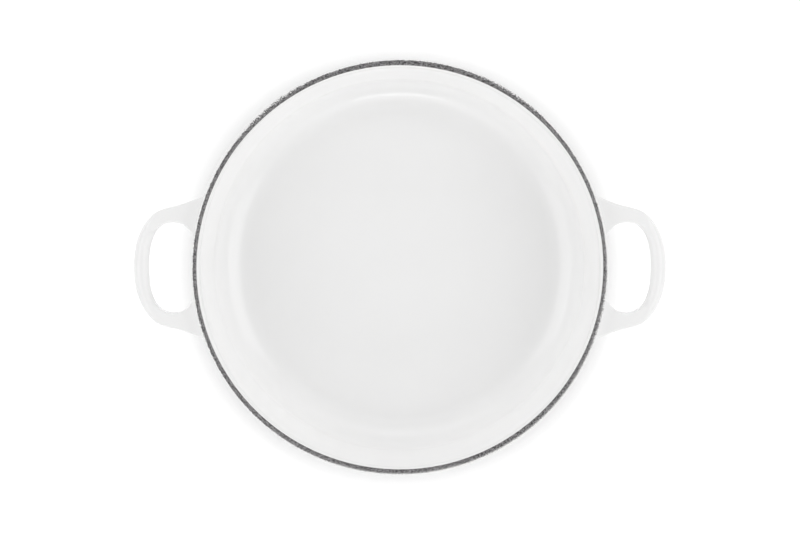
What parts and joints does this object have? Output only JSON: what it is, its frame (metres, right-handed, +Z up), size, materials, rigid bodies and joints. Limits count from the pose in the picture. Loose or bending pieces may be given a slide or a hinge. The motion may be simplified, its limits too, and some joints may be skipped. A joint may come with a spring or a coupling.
{
  "type": "casserole",
  "caption": "Low round casserole of white enamelled cast iron with a rounded cove, a dark matt rim band, a foot ring and closed loop handles on opposite sides.",
  "frame": {"origin": "on the ground under the middle of the bowl", "axes": "+X out through the right handle, +Y to the top of the picture, +Z up out of the bowl's mouth"},
  "size_m": [0.3328, 0.26, 0.07],
  "materials": {
    "cast_iron": "matte",
    "white_enamel": "gloss",
    "ground_coat": "matte"
  },
  "bodies": {
    "root": {"iron_casting": "cast_iron", "interior_enamel": "white_enamel", "wall_enamel": "white_enamel", "base_enamel": "white_enamel", "right_handle_enamel": "white_enamel", "left_handle_enamel": "white_enamel", "rim_coat": "ground_coat", "foot_coat": "ground_coat"}
  },
  "joints": []
}
